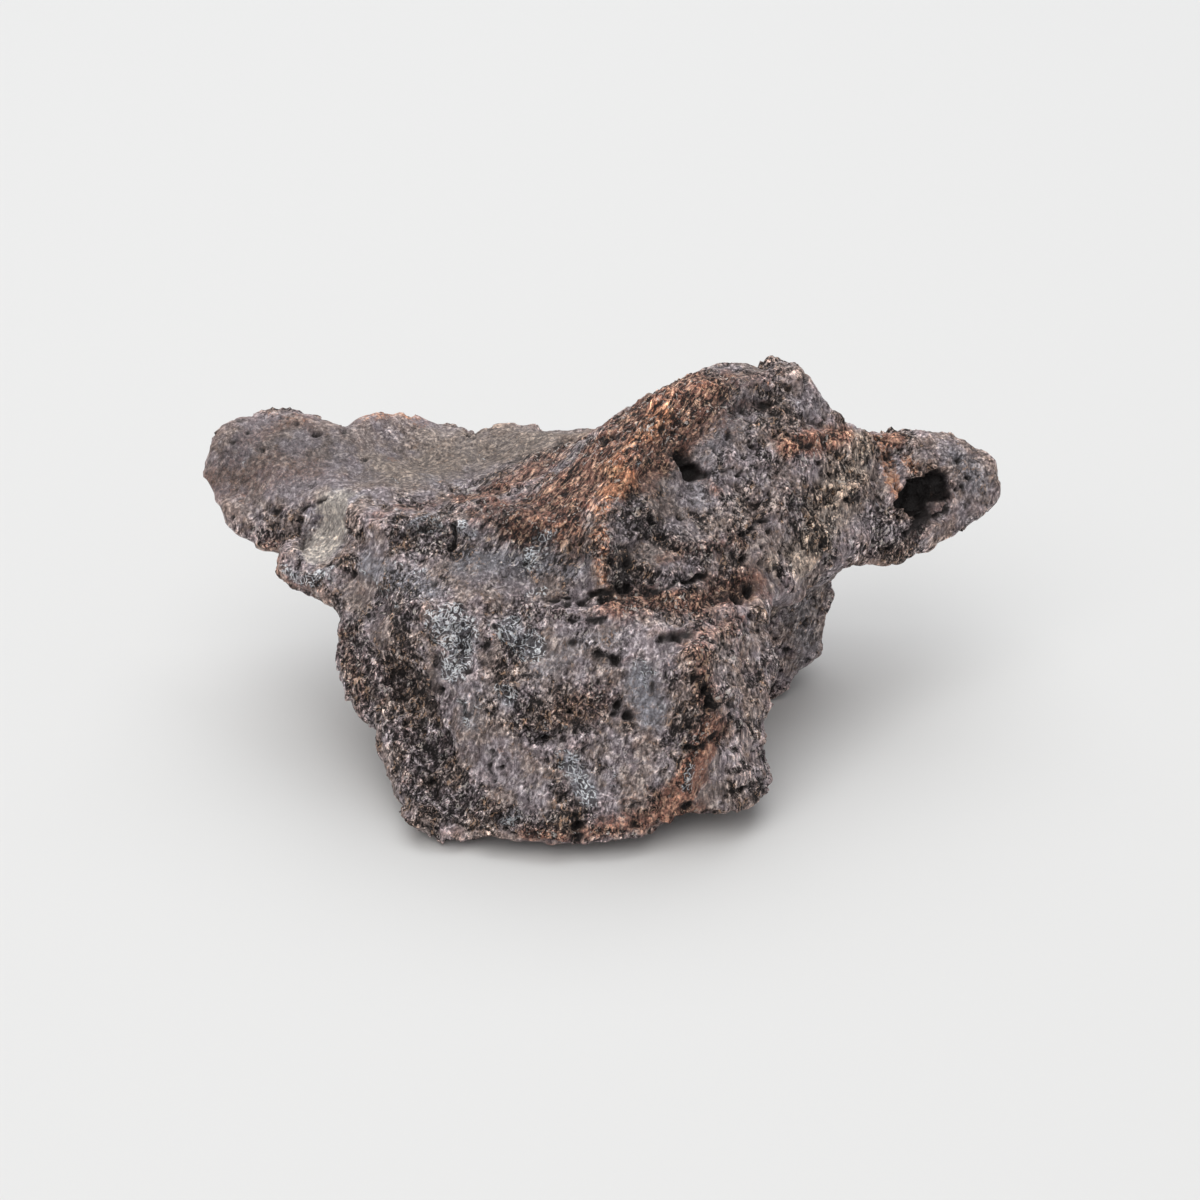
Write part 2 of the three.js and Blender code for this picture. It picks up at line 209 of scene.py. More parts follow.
def fine_skin(cad):
    """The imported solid's surface in even small quads, with its facets smoothed away."""
    worked = bmesh.new()
    worked.from_mesh(cad.data)
    bmesh.ops.remove_doubles(worked, verts=worked.verts, dist=1e-7)
    bmesh.ops.scale(worked, vec=(1 / MM,) * 3, verts=worked.verts)
    plain = bpy.data.meshes.new("plain")
    worked.to_mesh(plain)
    worked.free()
    carrier = bpy.data.objects.new("carrier", plain)
    bpy.context.scene.collection.objects.link(carrier)
    remesh = carrier.modifiers.new("even", "REMESH")
    remesh.mode = "VOXEL"
    remesh.voxel_size = SKIN_CELL
    even = bpy.data.meshes.new_from_object(carrier.evaluated_get(bpy.context.evaluated_depsgraph_get()))
    fine = Skin(even)
    bpy.data.objects.remove(carrier)
    bpy.data.meshes.remove(plain)
    bpy.data.meshes.remove(even)
    for _ in range(FACET_TURNS):
        fine.points = fine.smoothed(fine.points, 1, SMOOTHING)
        fine.points = fine.smoothed(fine.points, 1, REGAINING)
    return fine


skin = fine_skin(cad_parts["meteorite"])
places = skin.points.copy()  # the smooth skin's points: every form and colour is laid out over these
facing = skin.normals()
tree = BVHTree.FromPolygons([Vector(point) for point in places], skin.quads.tolist())


# Places and patches on the stone

NEARING_TURNS = 12  # turns that bring a ray's missed place onto the stone


def on_stone(across, down):
    """Where the ray of a pixel of the photograph meets the stone, or passes nearest to it."""
    middle = FRAME_PIXELS / 2
    ray = FORWARD + (across - middle) / FOCAL_PIXELS * RIGHT + (middle - down) / FOCAL_PIXELS * UP
    hit = tree.ray_cast(Vector(CAMERA), Vector(ray).normalized())[0]
    if hit is None:
        spot = CAMERA + ray * CAMERA_DISTANCE
        for _ in range(NEARING_TURNS):
            hit = tree.find_nearest(Vector(spot))[0]
            spot = CAMERA + ray * ((np.array(hit) - CAMERA) @ ray / (ray @ ray))
    return np.array(hit)


def to_path(points, path):
    """Distance from each point to a line through places on the stone, given as pixels."""
    spots = [on_stone(*pixel) for pixel in path]
    spots = spots if len(spots) > 1 else spots * 2
    nearest = np.full(len(points), np.inf)
    for start, end in zip(spots, spots[1:]):
        along = end - start
        away = points - start
        share = np.clip(away @ along / max(along @ along, 1e-9), 0, 1)
        away -= share[:, None] * along
        nearest = np.minimum(nearest, (away * away).sum(1))
    return np.sqrt(nearest)


def near(points, path, reach, full_at):
    """0 from a path's reach on, and 1 from where full_at of the way in to the path is done."""
    return step_up(1 - to_path(points, path) / reach, 0.0, full_at)


ragged_edge = layered(places, size=1.2, layers=3, seed=300)
wandering = moved_about(moved_about(places, 0.7, 0.16, seed=95), 0.30, 0.11, seed=96)


def patches(items, soft=0.45, ragged=0.35):
    """Patches along lines of pixels, each (path, radius, strength), fading out at a ragged edge."""
    total = np.zeros(len(places))
    for number, (path, radius, strength) in enumerate(items):
        edge = radius * (1 + ragged * (ragged_edge if number % 2 else -ragged_edge))
        total = np.maximum(total, strength * near(places, path, edge, soft))
    return total


# The kinds of surface, each patch (path, radius, strength)
SLOPE = [
    ([(545, 520), (590, 470), (640, 425), (690, 392)], 3.2, 1.0),  # along the ridge
    ([(560, 560), (500, 515)], 1.8, 0.8),
    ([(480, 492), (540, 462), (610, 418)], 2.0, 0.9),
]
GREY_FACE = [
    ([(640, 560), (650, 500), (690, 440), (750, 400)], 3.4, 1.0),  # right of the ridge, up to the top facet
    ([(760, 510), (780, 440)], 2.6, 1.0),
]
TIER = [
    ([(800, 560), (820, 500), (850, 450)], 2.6, 1.0),  # under the right arm's root
    ([(760, 600), (750, 700), (745, 780)], 2.4, 1.0),  # the front block's right side
]
SADDLE = [
    ([(400, 470), (470, 465), (540, 450)], 4.6, 1.0),
    ([(470, 445), (380, 440)], 3.0, 0.8),
]
SCOOP = [
    ([(338, 508), (332, 530), (320, 548)], 1.5, 1.0),
    ([(322, 520), (312, 545)], 1.0, 0.8),
]
LEFT_ARM = [
    ([(235, 465), (320, 455)], 4.0, 1.0),
]
CRUMBLY = [
    ([(350, 640), (372, 700)], 2.0, 1.0),  # the left edge
    ([(398, 668), (414, 720), (430, 790)], 2.3, 1.0),  # the dark valley
    ([(530, 725), (595, 705)], 1.3, 1.0),  # the middle of the front block
    ([(440, 808), (560, 832)], 1.2, 0.9),
    ([(705, 690), (690, 740)], 1.1, 0.9),
    ([(600, 545), (625, 590)], 0.9, 1.0),
    ([(640, 520), (700, 560)], 1.3, 0.8),
    ([(790, 500), (820, 540)], 1.3, 0.9),
    ([(560, 612), (520, 610)], 0.8, 0.8),
    ([(400, 520), (440, 545)], 1.0, 0.9),
    ([(860, 560), (905, 545)], 0.8, 0.8),
    ([(650, 610), (740, 590)], 0.9, 0.7),
]
PLAIN_CRUST = [
    ([(450, 690), (470, 740), (505, 765)], 1.6, 1.0),
    ([(560, 650), (600, 680)], 1.4, 0.9),
    ([(600, 620), (640, 640)], 1.1, 0.8),
    ([(470, 585), (560, 592)], 1.5, 1.0),
    ([(610, 742), (640, 775)], 1.3, 0.8),
    ([(515, 785), (540, 805)], 1.0, 0.7),
    ([(716, 410), (715, 430)], 1.0, 0.9),
    ([(660, 490), (700, 500)], 0.9, 0.7),
    ([(950, 455), (980, 480)], 2.0, 0.8),
    ([(800, 600), (812, 655)], 2.2, 0.7),
    ([(640, 680), (650, 715)], 1.3, 1.0),
    ([(500, 560), (540, 580)], 1.6, 0.8),
    ([(455, 680), (462, 720)], 1.0, 0.7),
    ([(470, 580), (430, 575)], 1.1, 0.7),
    ([(820, 400), (800, 395)], 1.1, 0.7),
    ([(590, 560), (560, 575)], 1.0, 0.6),
    ([(640, 402), (690, 374), (740, 362), (815, 366)], 0.9, 0.9),  # the top's far rim
    ([(366, 414), (395, 411), (440, 424)], 0.9, 0.8),  # the left arm's far rim
]
slope, grey_face, tier = patches(SLOPE), patches(GREY_FACE), patches(TIER)
saddle, scoop, left_arm = patches(SADDLE), patches(SCOOP), patches(LEFT_ARM)
plain_crust = patches(PLAIN_CRUST)

# The photograph's camera looks along y: what faces away from it is hidden and gets its own detail
unseen = step_up(facing[:, 1], -0.35, 0.35)
turned_away = step_up(facing[:, 1], 0.15, 0.70)
hidden_crumble = turned_away * step_up(layered(places, size=3.4, layers=3, seed=210), 0.05, 0.45)
crumbly = np.maximum(patches(CRUMBLY, soft=0.9), hidden_crumble)

# How smooth each place is, and how far the broken relief shows there
smooth_spots = 0.75 * step_up(layered(places, size=2.6, layers=2, seed=81), 0.12, 0.42)
calm = 0.8 * saddle + 0.8 * scoop + 0.7 * plain_crust + 0.85 * left_arm
calm = np.clip(np.maximum(calm, smooth_spots), 0, 0.9)
calm = calm * (1 - crumbly) * (1 - 0.7 * slope)
lumpy = (1 - calm) * (1 - 0.6 * slope)

# Flow lines on the slope left of the ridge run up along it; streaks on the tier run down it
UPHILL = np.array([0.46, 0.79, 0.40])
UPHILL /= np.linalg.norm(UPHILL)
drawn_out = places - 0.78 * (places @ UPHILL)[:, None] * UPHILL
flow_lines = creased(drawn_out, size=0.8, layers=3, seed=60, keep=0.6)
hanging = moved_about(places, 1.5, 0.3, seed=66) * np.array([1.0, 1.0, 0.28])
streaks = creased(hanging, size=0.7, layers=3, seed=70, keep=0.6)

# The relief: how far each kind of form stands out, in millimetres
lumps = creased(moved_about(places, 1.0, 0.25, seed=7), size=1.5, layers=3, seed=5, keep=0.6)
height = 0.10 * layered(places, size=3.0, layers=2, seed=1)
height += 0.15 * lumpy * chipped(places, size=1.9, seed=3)
height += 0.09 * lumpy * chipped(places, size=0.85, seed=4)
height += 0.12 * lumpy * (lumps - 0.4)
height += 0.16 * crumbly * chipped(places, size=0.5, seed=8)
height += 0.32 * turned_away * chipped(places, size=4.2, seed=12)
height += 0.04 * (1 - 0.5 * calm) * layered(places, size=0.42, layers=2, seed=20, keep=0.7)
height += 0.26 * slope * (flow_lines - 0.35)
height += 0.24 * tier * (streaks - 0.35)

# The mouth of the right arm's cavity is crumbly
CAVITY_RIM = [(900, 508), (903, 488), (918, 474), (940, 474), (950, 494), (936, 512), (915, 522)]
height += 0.34 * patches([(CAVITY_RIM, 0.65, 1.0)]) * chipped(places, size=0.42, seed=9)

# Broad swells and shallow places that bring the outline to the photograph's, each (path, reach, rise)
SWELLS = [
    ([(800, 366), (822, 384)], 2.0, 0.10),
    ([(765, 358), (780, 360)], 0.9, -0.15),
    ([(842, 416), (862, 424)], 1.0, -0.15),
    ([(906, 428)], 1.2, -0.30),
    ([(874, 432)], 0.9, 0.25),
    ([(870, 566), (892, 558)], 1.5, 0.50),
    ([(824, 628), (820, 660)], 1.1, 0.40),
    ([(758, 620), (758, 700)], 1.4, 0.50),
    ([(925, 434), (960, 444), (985, 460)], 2.2, 0.45),
    ([(920, 548), (950, 536)], 1.8, 0.40),
    ([(845, 574), (862, 570)], 1.5, 0.35),
    ([(212, 440), (235, 418)], 1.8, 0.28),
    ([(206, 500), (212, 512)], 1.4, 0.05),
    ([(350, 630)], 0.8, -0.40),
    ([(258, 414), (268, 412)], 1.0, 0.20),
    ([(262, 548), (272, 566)], 1.0, 0.35),
    ([(290, 606), (330, 612)], 1.3, -0.40),
    ([(341, 640), (345, 660)], 1.4, -0.30),
    ([(352, 706), (370, 718)], 1.2, 0.30),
    ([(386, 770), (390, 800)], 1.6, -0.30),
    ([(834, 597)], 1.0, -0.20),
    ([(390, 414), (375, 414)], 1.6, 0.25),
    ([(450, 420), (465, 424)], 1.6, -0.30),
    ([(540, 430), (500, 432)], 1.8, 0.25),
    ([(690, 374), (720, 368)], 1.8, 0.20),
    ([(300, 420), (330, 424)], 1.4, 0.15),
]
for path, reach, rise in SWELLS:
    height += rise * near(places, path, reach, full_at=1.0)

# Crests and shelves that stand out, each (path, reach, height)
RAISED = [
    ([(605, 592), (603, 550), (600, 512), (620, 480), (665, 402)], 0.95, 0.42),  # the ridge's crest
    ([(665, 402), (700, 389), (760, 379), (803, 371)], 0.8, 0.22),  # the top facet's edge
    ([(600, 614), (660, 606), (740, 574)], 0.9, 0.26),  # the shelf over the front block
    ([(688, 655), (694, 690)], 0.8, 0.20),
    ([(705, 748), (690, 775), (668, 805)], 0.8, 0.28),
    ([(382, 522), (440, 508), (520, 516), (590, 540)], 0.7, 0.16),
    ([(760, 462), (800, 440), (850, 437)], 0.6, 0.24),
    ([(868, 428), (880, 470), (890, 500)], 0.6, 0.22),
    ([(232, 505), (262, 532), (290, 552)], 0.6, 0.14),
    ([(410, 812), (470, 842), (560, 838)], 0.7, 0.16),
    ([(590, 800), (650, 800), (690, 802)], 0.6, 0.20),
    ([(352, 560), (396, 590), (372, 610)], 0.5, 0.14),
    ([(456, 505), (462, 530), (470, 560)], 0.5, 0.12),
    ([(280, 575), (330, 592)], 0.5, 0.14),
    ([(768, 600), (764, 700), (755, 780)], 0.5, 0.14),
]
for path, reach, rise in RAISED:
    height += rise * np.clip(1 - to_path(wandering, path) / reach, 0, 1)

# Wide hollows, each (path, radius, depth)
BOWLS = [
    ([(336, 514), (325, 530), (322, 545)], 1.5, 0.12),  # the pale scoop
    ([(303, 530), (302, 542)], 0.5, 0.15),
    ([(412, 680), (420, 720), (436, 770)], 1.6, 0.30),  # the dark valley
    ([(915, 500)], 1.7, 0.35),  # round the cavity
    ([(300, 540)], 0.9, 0.30),
    ([(765, 402)], 0.9, 0.22),
    ([(575, 725), (545, 745)], 1.1, 0.28),
    ([(625, 575), (650, 585)], 0.9, 0.30),
    ([(740, 598)], 0.8, 0.30),
    ([(690, 635), (665, 645)], 0.8, 0.25),
    ([(578, 832)], 0.8, 0.30),
    ([(687, 466)], 1.1, 0.20),
    ([(410, 540)], 0.7, 0.14),
    ([(728, 735)], 0.8, 0.18),
]
for path, radius, depth in BOWLS:
    height -= depth * near(wandering, path, radius, full_at=0.9)

# Where small round pits are closest together: the grey face, the tips of the arms and the back foot
FOOT_AND_TIPS = [
    ([(800, 600), (805, 670)], 2.4, 1.0),
    ([(955, 470), (975, 480)], 1.8, 1.0),
]
pitted = 0.34 - 0.25 * calm + 0.5 * grey_face + 0.35 * patches(FOOT_AND_TIPS) - 0.25 * saddle

LEAST_RADIUS, MORE_RADIUS = 0.13, 0.13  # as shares of the spacing: the least, and what chance adds
DEEPEST = 0.45


def scattered_holes(spacing, seed, allowed):
    """Round holes at scattered places, wherever the place's chance is under what is allowed there."""
    uneven = moved_about(places, 0.5, 0.12, seed + 40)
    offset, chances, _ = scattered(uneven, spacing, seed)
    radius = spacing * (LEAST_RADIUS + MORE_RADIUS * chances[:, GIRTH])
    inside = step_up(1 - np.linalg.norm(offset, axis=1) / radius, 0.0, 0.8)
    depth = np.minimum(radius * 1.2, DEEPEST)
    return inside * (chances[:, LIKELIHOOD] < allowed) * depth


holes = scattered_holes(0.62, seed=33, allowed=0.8 * pitted)
holes = np.maximum(holes, scattered_holes(1.05, seed=31, allowed=pitted))
holes = np.maximum(holes, scattered_holes(3.0, seed=35, allowed=0.6 * unseen))

# The pits that are seen, each (pixel across, pixel down, radius, depth)
PITS = [
    (683, 457, 0.60, 0.60), (690, 471, 0.60, 0.70), (727, 435, 0.22, 0.35), (740, 410, 0.22, 0.30),
    (789, 389, 0.26, 0.30), (720, 369, 0.20, 0.25), (682, 518, 0.26, 0.35), (740, 476, 0.22, 0.30),
    (765, 520, 0.20, 0.25), (770, 533, 0.20, 0.25), (652, 520, 0.34, 0.30), (765, 405, 0.50, 0.30),
    (803, 380, 0.30, 0.30), (315, 436, 0.30, 0.35), (343, 433, 0.26, 0.35), (234, 441, 0.20, 0.25),
    (262, 451, 0.22, 0.25), (296, 426, 0.24, 0.25), (366, 458, 0.22, 0.20), (247, 433, 0.20, 0.20),
    (275, 512, 0.30, 0.20), (330, 565, 0.22, 0.30), (570, 548, 0.16, 0.30), (579, 545, 0.16, 0.30),
    (567, 604, 0.22, 0.30), (573, 643, 0.30, 0.20), (596, 653, 0.26, 0.35), (613, 660, 0.34, 0.40),
    (603, 655, 0.20, 0.35), (620, 705, 0.28, 0.40), (629, 716, 0.28, 0.40), (615, 713, 0.24, 0.35),
    (569, 708, 0.20, 0.35), (545, 738, 0.26, 0.30), (560, 742, 0.24, 0.30), (502, 766, 0.24, 0.35),
    (450, 752, 0.26, 0.35), (430, 782, 0.26, 0.35), (440, 690, 0.26, 0.30), (402, 722, 0.22, 0.25),
    (505, 838, 0.26, 0.35), (515, 843, 0.20, 0.30), (576, 846, 0.40, 0.40), (578, 828, 0.44, 0.35),
    (635, 826, 0.34, 0.25), (686, 806, 0.42, 0.30), (708, 690, 0.36, 0.45), (712, 706, 0.34, 0.45),
    (735, 600, 0.50, 0.50), (745, 590, 0.36, 0.45), (618, 588, 0.32, 0.50), (628, 560, 0.36, 0.45),
    (611, 562, 0.26, 0.40), (956, 460, 0.22, 0.25), (970, 456, 0.22, 0.25), (967, 477, 0.24, 0.25),
    (962, 486, 0.22, 0.25), (831, 476, 0.24, 0.30), (846, 498, 0.24, 0.30), (792, 505, 0.26, 0.30),
    (822, 545, 0.40, 0.35), (792, 590, 0.30, 0.35), (806, 622, 0.34, 0.40), (788, 652, 0.28, 0.35),
    (800, 684, 0.26, 0.30), (815, 600, 0.24, 0.30), (505, 575, 0.20, 0.15), (353, 575, 0.24, 0.30),
]
for across, down, radius, depth in PITS:
    holes = np.maximum(holes, depth * near(wandering, [(across, down)], radius, full_at=0.75))

# The right arm's cavity, one deep hole with an uneven mouth, each part (path, radius, depth)
CAVITY = [
    ([(906, 501), (920, 494), (936, 484)], 0.80, 1.00),
    ([(921, 500), (923, 514)], 0.55, 0.80),
    ([(940, 494)], 0.60, 0.80),
]
ragged_mouth = moved_about(moved_about(places, 0.9, 0.25, seed=98), 0.35, 0.16, seed=99)
for path, radius, depth in CAVITY:
    holes = np.maximum(holes, depth * near(ragged_mouth, path, radius, full_at=0.6))

# The cracks that are seen, each (path, width, depth), and cracks of the same kind where nothing is seen
CRACKS = [
    ([(656, 643), (675, 635), (693, 630)], 0.30, 0.45),
    ([(449, 512), (455, 528), (453, 545), (437, 561)], 0.15, 0.45),  # the left shoulder's crack
    ([(402, 535), (415, 533), (430, 527)], 0.18, 0.30),
    ([(545, 600), (575, 599), (600, 604)], 0.14, 0.30),
    ([(583, 601), (606, 592), (630, 586)], 0.22, 0.45),
    ([(600, 603), (655, 594), (700, 578), (745, 556)], 0.24, 0.45),  # the long crack over the front block
    ([(566, 619), (592, 621), (612, 618)], 0.16, 0.25),
    ([(851, 556), (890, 542), (925, 523), (965, 505)], 0.26, 0.40),  # under the right arm
    ([(720, 545), (745, 533), (762, 520)], 0.18, 0.30),
    ([(500, 655), (520, 690), (515, 720)], 0.14, 0.15),
    ([(463, 700), (470, 740), (460, 770)], 0.16, 0.20),
    ([(640, 655), (646, 680), (660, 700)], 0.14, 0.15),
    ([(706, 684), (711, 710)], 0.26, 0.40),
    ([(727, 702), (730, 714)], 0.20, 0.30),
    ([(684, 748), (700, 744), (716, 734)], 0.20, 0.30),
    ([(722, 640), (728, 655)], 0.18, 0.28),
    ([(780, 430), (800, 450), (820, 440)], 0.18, 0.20),
    ([(493, 752), (489, 765), (496, 780)], 0.14, 0.25),
    ([(322, 499), (302, 511), (296, 528)], 0.16, 0.26),
    ([(380, 740), (400, 700), (405, 660)], 0.18, 0.20),
    ([(560, 812), (600, 818), (680, 822)], 0.18, 0.22),
    ([(708, 812), (730, 792), (760, 780)], 0.20, 0.28),
    ([(770, 420), (755, 417), (780, 414)], 0.14, 0.20),
    ([(845, 430), (870, 445), (880, 440)], 0.16, 0.20),
    ([(650, 700), (690, 720)], 0.14, 0.16),
]
broken_up = step_up(layered(places, size=0.9, layers=2, seed=340), -0.45, 0.25)
unseen_cracks = np.abs(layered(wandering, size=5.0, layers=4, seed=225, keep=0.55))
cracked = unseen * broken_up * step_up(layered(places, size=5.0, layers=2, seed=345), 0.0, 0.35)
holes = np.maximum(holes, 0.35 * cracked * step_up(1 - unseen_cracks / 0.04, 0.0, 0.8))
for path, width, depth in CRACKS:
    gap = near(wandering, path, width * (0.5 + 0.7 * broken_up), full_at=0.8)
    holes = np.maximum(holes, depth * (0.3 + 0.7 * broken_up) * gap)

skin.points = skin.points + (height - holes)[:, None] * facing

# The front lip stands clear of the table and its left end draws in, each (path, reach, shift)
LIP = [
    ([(440, 843), (480, 850)], 2.0, (0.0, 0.0, 0.25)),
    ([(510, 852), (610, 852)], 2.2, (0.0, 0.0, 0.65)),
    ([(670, 846), (700, 832)], 1.6, (0.0, 0.0, 0.25)),
    ([(730, 825), (760, 812)], 1.8, (0.0, 0.0, 0.60)),
    ([(396, 810), (404, 830)], 1.9, (0.85, 0.15, 0.50)),  # the left end
]
LIP_TOP = 2.4
for path, reach, shift in LIP:
    share = near(places, path, reach, full_at=0.8) * step_up(1 - places[:, 2] / LIP_TOP, 0.0, 1.0)
    skin.points += share[:, None] * np.array(shift)
skin.points[:, 2] = np.maximum(skin.points[:, 2], 0.0)

# Where the stone has which colour, and where painted glints, painted light and painted shade go, each patch
# (path, radius, strength)
ORANGE = [
    ([(605, 580), (602, 560), (600, 520), (607, 500)], 0.7, 1.0),  # the ridge's crest
    ([(607, 500), (622, 482), (610, 465)], 1.2, 1.4),
    ([(610, 465), (630, 450), (650, 435), (665, 415)], 1.2, 1.2),
    ([(665, 415), (690, 396), (722, 388)], 0.8, 0.7),
    ([(640, 415), (665, 402)], 0.9, 0.6),
    ([(770, 384), (800, 374), (813, 386)], 0.8, 0.7),
    ([(368, 414), (395, 411), (422, 419)], 1.2, 0.9),
    ([(272, 418), (303, 421)], 0.9, 0.7),
    ([(392, 460)], 0.5, 0.9),
    ([(232, 490), (248, 502)], 0.9, 0.6),
    ([(326, 447), (352, 456)], 1.1, 0.5),
    ([(408, 521), (424, 513)], 0.7, 0.8),
    ([(396, 546), (432, 548)], 0.8, 0.5),
    ([(500, 528), (518, 545)], 0.7, 0.5),
    ([(560, 532), (598, 536), (610, 556)], 0.9, 0.8),
    ([(880, 440), (890, 470), (897, 500)], 0.9, 1.2),
    ([(905, 455), (915, 470)], 0.6, 1.1),
    ([(795, 467)], 0.6, 0.6),
    ([(700, 680), (690, 702)], 0.5, 0.6),
    ([(702, 738), (682, 778), (664, 803)], 0.8, 0.6),
    ([(645, 790), (615, 800)], 0.9, 0.6),
    ([(668, 664), (674, 672)], 0.5, 0.7),
    ([(394, 728), (400, 762), (412, 802)], 0.6, 0.6),
    ([(418, 820), (468, 845), (540, 848)], 0.6, 0.6),
    ([(388, 712), (400, 706)], 0.6, 0.5),
    ([(500, 752), (513, 758)], 0.7, 0.7),
    ([(487, 642), (500, 630)], 0.5, 0.7),
    ([(476, 690), (471, 705)], 0.5, 0.6),
    ([(760, 540), (772, 530)], 0.6, 0.6),
    ([(785, 520), (800, 480)], 0.8, 0.4),
    ([(300, 595), (330, 598)], 0.6, 0.6),
    ([(265, 535), (285, 548)], 0.7, 0.5),
    ([(860, 560), (880, 555)], 0.7, 0.4),
]
BROWN = [
    ([(866, 436), (895, 440)], 1.0, 1.0),
    ([(470, 500), (530, 470), (600, 428)], 2.6, 0.8),
    ([(215, 480), (260, 470), (310, 470)], 2.4, 0.5),
    ([(340, 640), (360, 690)], 1.8, 0.5),
    ([(560, 500), (600, 460)], 2.0, 1.0),
    ([(540, 510), (590, 475), (640, 432), (690, 394)], 4.0, 1.3),  # the slope
    ([(490, 512), (560, 500)], 1.6, 0.7),
    ([(620, 604), (690, 604), (750, 584)], 1.7, 0.8),  # over the front block
    ([(690, 640), (740, 620)], 1.3, 0.6),
    ([(790, 446), (850, 433)], 1.3, 0.9),
    ([(660, 560), (740, 542)], 1.0, 0.6),
    ([(700, 650), (708, 700)], 1.2, 0.7),
    ([(714, 728), (694, 770), (664, 812)], 1.5, 1.1),
    ([(535, 842), (640, 826), (695, 812)], 1.4, 0.8),
    ([(560, 712), (600, 702)], 1.8, 0.5),
    ([(350, 650), (380, 690)], 1.7, 0.4),
    ([(300, 422), (250, 440)], 1.5, 0.5),
    ([(275, 545), (300, 590)], 1.2, 0.6),
    ([(765, 405)], 0.9, 0.7),
    ([(702, 478), (715, 490)], 0.7, 0.7),
    ([(760, 378), (690, 390)], 1.2, 0.5),
    ([(380, 515), (440, 505)], 1.2, 0.6),
    ([(740, 640), (745, 760)], 1.4, 0.4),
    ([(945, 500), (900, 545)], 1.3, 0.4),
]
CRUST = [
    ([(640, 676), (650, 716)], 1.3, 1.0),
    ([(470, 560), (545, 562)], 1.7, 0.8),
    ([(432, 592), (400, 580), (366, 563)], 1.3, 0.8),
    ([(440, 622), (466, 634), (455, 668)], 1.1, 1.0),
    ([(508, 628), (532, 648)], 1.2, 1.0),
    ([(570, 762), (586, 792)], 1.0, 1.0),
    ([(503, 690), (510, 700)], 0.7, 0.8),
    ([(505, 822), (516, 815)], 0.7, 0.8),
    ([(414, 524), (430, 518)], 0.7, 1.0),
    ([(457, 528), (474, 534)], 0.6, 0.9),
    ([(545, 540), (530, 562)], 0.8, 0.8),
    ([(540, 672), (585, 640), (615, 640)], 1.6, 0.6),
    ([(480, 690), (466, 724)], 1.5, 0.6),
    ([(290, 574), (297, 578)], 0.7, 0.9),
    ([(318, 576), (328, 572)], 0.7, 0.8),
    ([(735, 402), (715, 440), (700, 500)], 1.7, 0.6),
    ([(822, 398), (806, 410)], 1.3, 0.55),
    ([(955, 460), (978, 482)], 1.7, 0.7),
    ([(905, 545), (930, 530)], 1.1, 0.5),
    ([(800, 600), (812, 655)], 2.2, 0.6),
    ([(271, 510)], 0.8, 0.5),
    ([(590, 560), (565, 575)], 1.0, 0.7),
    ([(600, 740), (610, 770)], 1.6, 0.4),
    ([(520, 780), (540, 800)], 1.4, 0.4),
    ([(480, 480), (440, 500)], 1.0, 0.3),
]
DUST = [
    ([(336, 510), (332, 528), (318, 548)], 2.0, 1.3),
    ([(400, 470), (470, 452), (560, 440)], 4.2, 0.8),
    ([(440, 432), (520, 436)], 2.4, 0.7),
    ([(800, 560), (832, 500), (862, 450)], 2.2, 0.9),
    ([(772, 612), (768, 560)], 1.0, 0.7),
    ([(725, 650), (748, 700), (744, 775)], 1.4, 0.5),
    ([(478, 508), (440, 498)], 0.9, 0.5),
    ([(258, 528), (292, 556)], 0.8, 0.4),
    ([(690, 540), (740, 500)], 1.4, 0.5),
    ([(345, 590), (360, 612)], 0.8, 0.5),
    ([(556, 820), (570, 838)], 0.8, 0.6),
    ([(630, 838), (700, 820)], 0.8, 0.5),
]
# Dark patches: partly the stone's own dark tone, partly painted shade in pits, slots, the cavity and under
# a ledge
DARK_AND_PAINTED_SHADE = [
    ([(398, 668), (414, 720), (430, 782)], 1.7, 0.45),
    ([(440, 662), (425, 700)], 1.0, 0.7),
    ([(626, 556), (616, 592)], 0.9, 0.9),
    ([(722, 602), (752, 588)], 0.8, 0.9),
    ([(660, 641), (690, 632)], 0.6, 0.9),
    ([(597, 656), (616, 660)], 0.6, 0.9),
    ([(614, 708), (630, 715)], 0.6, 0.9),
    ([(545, 740), (590, 716)], 0.9, 0.6),
    ([(290, 534), (300, 508)], 0.5, 0.5),
    ([(906, 498), (935, 490), (921, 516)], 1.0, 1.0),
    ([(360, 600), (380, 640)], 1.1, 0.6),
    ([(700, 680), (716, 712)], 0.6, 0.8),
    ([(575, 830), (578, 846)], 0.6, 0.8),
    ([(860, 575), (900, 560)], 1.0, 0.5),
    ([(775, 580), (780, 700)], 0.8, 0.5),
    ([(820, 480), (845, 500)], 0.7, 0.4),
    ([(740, 545), (700, 560)], 0.7, 0.6),
    ([(645, 520), (655, 525)], 0.6, 0.7),
]
# Where painted glints go, and where the crust is made glossier
GLINT = [
    ([(440, 622), (466, 634), (452, 668)], 1.0, 1.0),  # the brightest patch
    ([(512, 628), (530, 648)], 0.9, 0.9),
    ([(568, 758), (588, 800)], 0.8, 0.9),
    ([(503, 690), (510, 700)], 0.6, 0.7),
    ([(505, 822), (516, 815)], 0.6, 0.7),
    ([(414, 526), (436, 520)], 0.7, 0.8),
    ([(459, 524), (470, 534)], 0.5, 0.8),
    ([(548, 538), (530, 562)], 0.7, 0.8),
    ([(530, 598), (542, 592)], 0.5, 0.8),
    ([(286, 572), (300, 580)], 0.6, 0.7),
    ([(314, 580), (330, 572)], 0.6, 0.8),
    ([(400, 560), (425, 575)], 0.5, 0.5),
    ([(640, 672), (652, 690)], 0.8, 0.5),
    ([(690, 766), (684, 786)], 0.3, 1.0),
    ([(540, 730)], 0.5, 0.6),
    ([(362, 570), (396, 604)], 0.3, 0.8),
    ([(700, 525), (715, 515)], 0.5, 0.4),
    ([(470, 700), (455, 720)], 0.8, 0.4),
]
